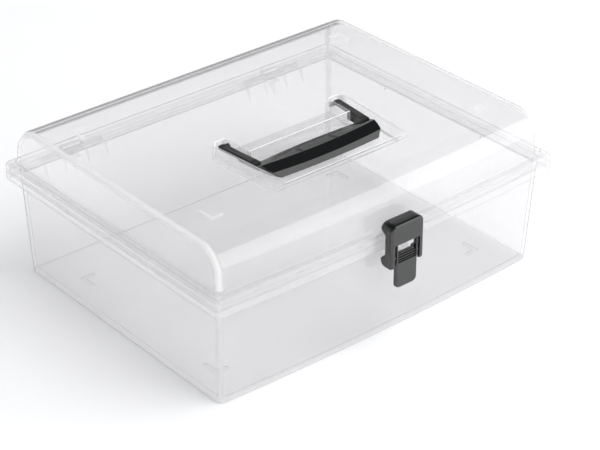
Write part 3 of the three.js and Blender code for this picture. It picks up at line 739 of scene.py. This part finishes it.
def painted_edge_light_and_shade(tree, coords):
    """Painted highlights on moulded edges (lid ends, recess lip, stacking lug tops) and painted shade at the
    tub's foot, the stacking recesses and the parting line.
    """
    normal = tree.nodes.new("ShaderNodeSeparateXYZ")
    link(tree, coords.outputs["Normal"], normal.inputs["Vector"])
    place = tree.nodes.new("ShaderNodeSeparateXYZ")
    link(tree, coords.outputs["Object"], place.inputs["Vector"])
    height = place.outputs["Z"]
    upright = calc(tree, "SUBTRACT", 1.0, calc(tree, "ABSOLUTE", normal.outputs["Z"]))
    # Painted highlight where normals turn halfway round x: the lid's rounded ends and the plan corners,
    # weaker below the rim.
    ends = calc(tree, "POWER", corner_share(tree, normal.outputs["X"]), 0.6)
    above_rim = calc(tree, "GREATER_THAN", height, (RIM_TOP + 2) * MM)
    # Painted highlight on the rounded lip of the handle recess, near the top of the lid.
    lip = corner_share(tree, normal.outputs["Z"])
    away = calc(tree, "ABSOLUTE", place.outputs["Y"])
    near_recess = calc(tree, "LESS_THAN", away, (-RECESS_FRONT + 8) * MM)
    at_top = calc(tree, "GREATER_THAN", height, (LID_TOP - 2.5) * MM)
    lip = calc(tree, "MULTIPLY", calc(tree, "MULTIPLY", lip, near_recess), at_top)
    # Painted highlight at half strength on everything raised above the lid top, the stacking lug tops.
    lug_highlight = calc(tree, "MULTIPLY", calc(tree, "GREATER_THAN", height, (LID_TOP + 0.05) * MM), 0.5)
    ends = calc(tree, "MULTIPLY", ends, calc(tree, "MAXIMUM", above_rim, 0.35))
    light = calc(tree, "MAXIMUM", calc(tree, "MAXIMUM", ends, lip), lug_highlight)
    # Painted shade: a dark line on the tub's rounded foot.
    foot = calc(tree, "MULTIPLY", corner_share(tree, normal.outputs["Z"]),
                calc(tree, "LESS_THAN", height, 1.6 * MM))
    foot = calc(tree, "MULTIPLY", foot, FOOT_PAINTED_SHADE)
    # Painted shade on upright faces in the bottom 1.15 mm, the walls of the stacking recesses under the tub.
    mark_shade = calc(tree, "MULTIPLY", upright, calc(tree, "LESS_THAN", height, 1.15 * MM))
    mark_shade = calc(tree, "MULTIPLY", mark_shade, MARK_PAINTED_SHADE)
    # Painted shade: a dark band on upright faces within 0.55 mm of the parting line between lid and tub.
    seam_shade = calc(tree, "COMPARE", height, PARTING * MM)
    seam_shade.node.inputs[2].default_value = 0.55 * MM
    seam_shade = calc(tree, "MULTIPLY", calc(tree, "MULTIPLY", seam_shade, upright), SEAM_PAINTED_SHADE)
    # All painted shade together.
    dark = calc(tree, "MAXIMUM", calc(tree, "MAXIMUM", foot, mark_shade), seam_shade)
    return light, dark

def clear_plastic():
    """Clear moulded plastic: thin tinted walls with a little haze, and a gloss coat. The haze carries painted
    highlights on rounded edges and painted shade at the foot, in the stacking recesses and along the parting
    line.
    """
    material, tree = new_material("clear_plastic")
    out = tree.nodes.new("ShaderNodeOutputMaterial")
    coords = tree.nodes.new("ShaderNodeTexCoord")
    wave = tree.nodes.new("ShaderNodeTexNoise")
    wave.inputs["Scale"].default_value = 14
    wave.inputs["Detail"].default_value = 3
    link(tree, coords.outputs["Object"], wave.inputs["Vector"])
    bump = tree.nodes.new("ShaderNodeBump")
    bump.inputs["Strength"].default_value = 0.05
    bump.inputs["Distance"].default_value = 0.001
    link(tree, wave.outputs["Fac"], bump.inputs["Height"])
    rough = tree.nodes.new("ShaderNodeMapRange")
    rough.inputs["To Min"].default_value = 0.04
    rough.inputs["To Max"].default_value = 0.10
    link(tree, wave.outputs["Fac"], rough.inputs["Value"])
    grazing = tree.nodes.new("ShaderNodeLayerWeight")
    grazing.inputs["Blend"].default_value = 0.5
    silhouette = tree.nodes.new("ShaderNodeMapRange")
    silhouette.interpolation_type = "SMOOTHSTEP"
    silhouette.inputs["From Min"].default_value = 0.52
    silhouette.inputs["From Max"].default_value = 0.88
    link(tree, grazing.outputs["Facing"], silhouette.inputs["Value"])
    tint = tree.nodes.new("ShaderNodeMix")
    tint.data_type = "RGBA"
    tint.inputs["A"].default_value = CLEAR_FACE_ON
    tint.inputs["B"].default_value = CLEAR_OUTLINE
    link(tree, silhouette.outputs["Result"], tint.inputs["Factor"])
    path = tree.nodes.new("ShaderNodeLightPath")
    shadow = tree.nodes.new("ShaderNodeMix")
    shadow.data_type = "RGBA"
    shadow.inputs["B"].default_value = CLEAR_SHADOW
    link(tree, path.outputs["Is Shadow Ray"], shadow.inputs["Factor"])
    link(tree, tint.outputs["Result"], shadow.inputs["A"])
    through = tree.nodes.new("ShaderNodeBsdfTransparent")
    link(tree, shadow.outputs["Result"], through.inputs["Color"])
    diffuse = tree.nodes.new("ShaderNodeBsdfDiffuse")
    translucent = tree.nodes.new("ShaderNodeBsdfTranslucent")
    # Masks where highlights and shade are painted on the edges.
    light, dark = painted_edge_light_and_shade(tree, coords)
    # The haze turns white where highlights are painted.
    painted_highlight = tree.nodes.new("ShaderNodeMix")
    painted_highlight.data_type = "RGBA"
    painted_highlight.inputs["A"].default_value = HAZE_COLOUR
    painted_highlight.inputs["B"].default_value = PAINTED_EDGE_HIGHLIGHT
    link(tree, light, painted_highlight.inputs["Factor"])
    # The haze turns dark where shade is painted.
    deep = tree.nodes.new("ShaderNodeMix")
    deep.data_type = "RGBA"
    deep.inputs["B"].default_value = PAINTED_EDGE_SHADE
    link(tree, painted_highlight.outputs["Result"], deep.inputs["A"])
    link(tree, dark, deep.inputs["Factor"])
    link(tree, deep.outputs["Result"], diffuse.inputs["Color"])
    link(tree, deep.outputs["Result"], translucent.inputs["Color"])
    milk = tree.nodes.new("ShaderNodeMixShader")
    milk.inputs["Fac"].default_value = 0.3
    link(tree, diffuse.outputs["BSDF"], milk.inputs[1])
    link(tree, translucent.outputs["BSDF"], milk.inputs[2])
    haze = tree.nodes.new("ShaderNodeMapRange")
    haze.inputs["To Min"].default_value = 0.11
    haze.inputs["To Max"].default_value = 0.16
    link(tree, wave.outputs["Fac"], haze.inputs["Value"])
    body = tree.nodes.new("ShaderNodeMixShader")
    # Painted highlights and painted shade raise the haze share, so their colours show.
    edges = calc(tree, "MAXIMUM", calc(tree, "MULTIPLY", light, 0.9), calc(tree, "MULTIPLY", dark, 0.8))
    link(tree, calc(tree, "MAXIMUM", haze.outputs["Result"], edges), body.inputs["Fac"])
    link(tree, through.outputs["BSDF"], body.inputs[1])
    link(tree, milk.outputs["Shader"], body.inputs[2])
    gloss = tree.nodes.new("ShaderNodeBsdfGlossy")
    link(tree, rough.outputs["Result"], gloss.inputs["Roughness"])
    link(tree, bump.outputs["Normal"], gloss.inputs["Normal"])
    power = tree.nodes.new("ShaderNodeMath")
    power.operation = "POWER"
    power.inputs[1].default_value = 5
    link(tree, grazing.outputs["Facing"], power.inputs[0])
    shine = tree.nodes.new("ShaderNodeMapRange")
    shine.inputs["To Min"].default_value = 0.05
    shine.inputs["To Max"].default_value = 0.9
    link(tree, power.outputs["Value"], shine.inputs["Value"])
    surface = tree.nodes.new("ShaderNodeAddShader")
    link(tree, shine.outputs["Result"], gloss.inputs["Color"])
    link(tree, body.outputs["Shader"], surface.inputs[0])
    link(tree, gloss.outputs["BSDF"], surface.inputs[1])
    link(tree, surface.outputs["Shader"], out.inputs["Surface"])
    return material

def black_plastic():
    material, tree = new_material("black_plastic")
    out = tree.nodes.new("ShaderNodeOutputMaterial")
    shader = tree.nodes.new("ShaderNodeBsdfPrincipled")
    shader.inputs["Base Color"].default_value = BLACK
    coords = tree.nodes.new("ShaderNodeTexCoord")
    grain = tree.nodes.new("ShaderNodeTexNoise")
    grain.inputs["Scale"].default_value = 900
    grain.inputs["Detail"].default_value = 3
    bump = tree.nodes.new("ShaderNodeBump")
    bump.inputs["Strength"].default_value = 0.06
    bump.inputs["Distance"].default_value = 0.0002
    rough = tree.nodes.new("ShaderNodeMapRange")
    rough.inputs["To Min"].default_value = 0.09
    rough.inputs["To Max"].default_value = 0.16
    shader.inputs["Specular IOR Level"].default_value = 1.0
    link(tree, coords.outputs["Object"], grain.inputs["Vector"])
    link(tree, grain.outputs["Fac"], bump.inputs["Height"])
    link(tree, grain.outputs["Fac"], rough.inputs["Value"])
    link(tree, rough.outputs["Result"], shader.inputs["Roughness"])
    link(tree, bump.outputs["Normal"], shader.inputs["Normal"])
    link(tree, shader.outputs["BSDF"], out.inputs["Surface"])
    return material

LOOKS = {"clear_plastic": clear_plastic(), "black_plastic": black_plastic()}
for piece, body, node, slot in PIECES:
    piece.data.materials.clear()
    piece.data.materials.append(LOOKS[slot])
    hidden = frame["nodes"][node]
    if not hidden.data.materials:
        hidden.data.materials.append(LOOKS[slot])
    for s in hidden.material_slots:
        s.material = LOOKS[slot]

# ---------------------------------------------------------------- floor, light, camera
def floor_stage():
    size = 3000
    corners = [(-size, -size, 0), (size, -size, 0), (size, size, 0), (-size, size, 0)]
    floor = mesh_object("floor", corners, [(0, 1, 2, 3)])
    floor.location.z = -0.00005
    material, tree = new_material("floor")
    out = tree.nodes.new("ShaderNodeOutputMaterial")
    shader = tree.nodes.new("ShaderNodeBsdfPrincipled")
    shader.inputs["Base Color"].default_value = FLOOR
    shader.inputs["Roughness"].default_value = 0.9
    shader.inputs["Specular IOR Level"].default_value = 0.0
    link(tree, shader.outputs["BSDF"], out.inputs["Surface"])
    floor.data.materials.append(material)
    return floor

floor_stage()

def area_light(name, location, target, size, energy):
    data = bpy.data.lights.new(name, "AREA")
    data.shape = "RECTANGLE"
    data.size, data.size_y = size
    data.energy = energy
    lamp = bpy.data.objects.new(name, data)
    bpy.context.scene.collection.objects.link(lamp)
    lamp.location = location
    direction = Vector(target) - Vector(location)
    lamp.rotation_euler = direction.to_track_quat("-Z", "Y").to_euler()
    return lamp

KEY_PLACE = (1.3, -2.0, 3.6)
KEY_SIZE = (3.4, 3.4)
KEY_WATTS = 108
SOFTBOX_PLACE = (1.75, -1.95, 1.2)
SOFTBOX_SIZE = (2.4, 2.7)
SOFTBOX_WATTS = 30

key = area_light("key", KEY_PLACE, (0, 0, 0.05), KEY_SIZE, KEY_WATTS)
key.visible_glossy = False
area_light("softbox", SOFTBOX_PLACE, (0, 0, 0.06), SOFTBOX_SIZE, SOFTBOX_WATTS)

world = bpy.data.worlds.new("studio")
bpy.context.scene.world = world
world.use_nodes = True
tree = world.node_tree
sky = tree.nodes["Background"]
sky.inputs["Color"].default_value = SKY
place = tree.nodes.new("ShaderNodeTexCoord")
parts = tree.nodes.new("ShaderNodeSeparateXYZ")
link(tree, place.outputs["Generated"], parts.inputs["Vector"])
side = tree.nodes.new("ShaderNodeVectorMath")
side.operation = "DOT_PRODUCT"
side.inputs[1].default_value = (0.66, -0.60, 0.45)
link(tree, place.outputs["Generated"], side.inputs[0])
glow = tree.nodes.new("ShaderNodeMapRange")
glow.inputs["From Min"].default_value = -1
glow.inputs["From Max"].default_value = 1
glow.inputs["To Min"].default_value = 0.46
glow.inputs["To Max"].default_value = 0.74
link(tree, side.outputs["Value"], glow.inputs["Value"])
link(tree, glow.outputs["Result"], sky.inputs["Strength"])
dark = tree.nodes.new("ShaderNodeBackground")
dark.inputs["Color"].default_value = SKY
rise = tree.nodes.new("ShaderNodeMapRange")
rise.interpolation_type = "SMOOTHSTEP"
rise.inputs["From Min"].default_value = 0.22
rise.inputs["From Max"].default_value = 0.64
rise.inputs["To Min"].default_value = 0.5
rise.inputs["To Max"].default_value = 0.06
link(tree, parts.outputs["Z"], rise.inputs["Value"])
link(tree, rise.outputs["Result"], dark.inputs["Strength"])
ray = tree.nodes.new("ShaderNodeLightPath")
choose = tree.nodes.new("ShaderNodeMixShader")
link(tree, ray.outputs["Is Glossy Ray"], choose.inputs["Fac"])
link(tree, sky.outputs["Background"], choose.inputs[1])
link(tree, dark.outputs["Background"], choose.inputs[2])
link(tree, choose.outputs["Shader"], tree.nodes["World Output"].inputs["Surface"])

CAMERA_ANGLES = (40.110, 30.567, -0.222)       # azimuth, elevation and roll, in degrees
CAMERA_DISTANCE = 1395.81
CAMERA_TARGET = Vector((17.145, 0, 25.750))
CAMERA_LENS = 119.45
SENSOR_WIDTH = 36

def make_camera():
    azimuth, elevation, roll = (math.radians(angle) for angle in CAMERA_ANGLES)
    distance, target = CAMERA_DISTANCE, CAMERA_TARGET
    forward = Vector((math.sin(azimuth) * math.cos(elevation), math.cos(azimuth) * math.cos(elevation),
                      -math.sin(elevation)))
    right = Vector((math.cos(azimuth), -math.sin(azimuth), 0))
    up = right.cross(forward)
    right2 = right * math.cos(roll) + up * math.sin(roll)
    up2 = -right * math.sin(roll) + up * math.cos(roll)
    data = bpy.data.cameras.new("camera")
    data.sensor_width = SENSOR_WIDTH
    data.lens = CAMERA_LENS
    data.clip_start = 0.05
    data.clip_end = 20
    camera = bpy.data.objects.new("camera", data)
    bpy.context.scene.collection.objects.link(camera)
    place = (target - forward * distance) * MM
    rotation = Matrix((right2, up2, -forward)).transposed().to_4x4()
    camera.matrix_world = Matrix.Translation(place) @ rotation
    bpy.context.scene.camera = camera
    return camera

make_camera()
scene = bpy.context.scene
scene.view_settings.view_transform = "Standard"
scene.cycles.transparent_max_bounces = 96
scene.cycles.max_bounces = 16
